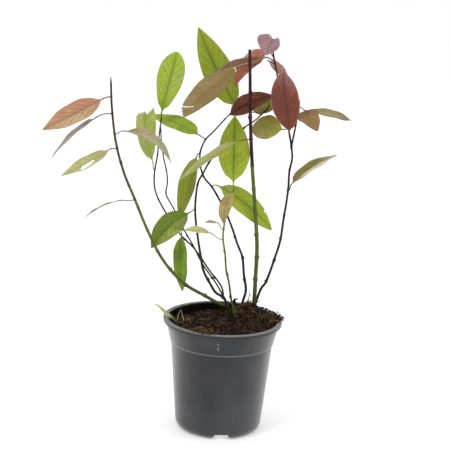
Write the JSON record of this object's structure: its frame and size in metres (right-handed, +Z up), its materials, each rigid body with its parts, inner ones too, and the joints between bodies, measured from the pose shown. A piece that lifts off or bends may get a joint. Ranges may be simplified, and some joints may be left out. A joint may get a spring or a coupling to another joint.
{
  "type": "potted virginia sweetspire",
  "caption": "Young Virginia sweetspire shrub with thin stems and turning leaves, growing in soil in a round grey nursery pot that stands on its base.",
  "frame": {"origin": "centre of the pot's base, on the surface that the pot stands on", "axes": "+Z up along the pot's axis, +X to the right and +Y away from the viewer of the front"},
  "size_m": [0.3225, 0.131, 0.4343],
  "materials": {
    "pot": "matte",
    "soil": "matte",
    "grass": "satin",
    "green_stem": "satin",
    "dark_stem": "satin",
    "leaf_fresh_green": "satin",
    "leaf_yellow_green": "satin",
    "leaf_dark_green": "satin",
    "leaf_pale_green": "satin",
    "leaf_olive": "satin",
    "leaf_brown": "satin",
    "leaf_grey_brown": "satin",
    "leaf_maroon": "satin",
    "leaf_coral": "satin",
    "leaf_pink": "satin",
    "leaf_rusty": "satin"
  },
  "bodies": {
    "root": {"pot": "pot", "soil": "soil", "grass_blade": "grass", "left_shoot": "green_stem", "centre_shoot": "green_stem", "young_shoot": "green_stem", "right_shoot": "dark_stem", "arched_shoot": "dark_stem", "old_crown": "dark_stem", "left_shoot_upper_leaf": "leaf_pink", "left_shoot_edgewise_leaf": "leaf_grey_brown", "left_shoot_bitten_leaf": "leaf_yellow_green", "left_shoot_lowest_leaf": "leaf_grey_brown", "left_shoot_inner_leaf": "leaf_pink", "centre_shoot_pale_leaf": "leaf_pale_green", "centre_shoot_torn_leaf": "leaf_brown", "right_shoot_low_grey_leaf": "leaf_grey_brown", "right_shoot_maroon_leaf": "leaf_maroon", "right_shoot_tan_leaf": "leaf_olive", "right_shoot_hidden_olive_leaf": "leaf_olive", "right_shoot_long_brown_leaf": "leaf_brown", "right_shoot_coral_leaf": "leaf_coral", "right_shoot_pale_pink_leaf": "leaf_pink", "right_shoot_heart_leaf": "leaf_maroon", "right_arm_rusty_leaf": "leaf_rusty", "right_arm_far_olive_leaf": "leaf_olive", "old_crown_dark_green_leaf": "leaf_dark_green", "old_crown_great_green_leaf": "leaf_fresh_green", "crown_back_twig_torn_pale_leaf": "leaf_pale_green", "crown_back_twig_tall_lime_leaf": "leaf_yellow_green", "crown_front_twig_hanging_leaf": "leaf_fresh_green", "arched_shoot_spread_green_leaf": "leaf_yellow_green", "arched_shoot_olive_leaf": "leaf_olive", "arched_shoot_vivid_green_leaf": "leaf_fresh_green", "arched_shoot_dusky_leaf": "leaf_maroon", "young_shoot_upright_leaf": "leaf_yellow_green", "young_shoot_drooping_pink_leaf": "leaf_pink", "young_shoot_tiny_leaf": "leaf_pale_green", "young_shoot_small_pale_leaf": "leaf_pale_green"}
  },
  "joints": []
}
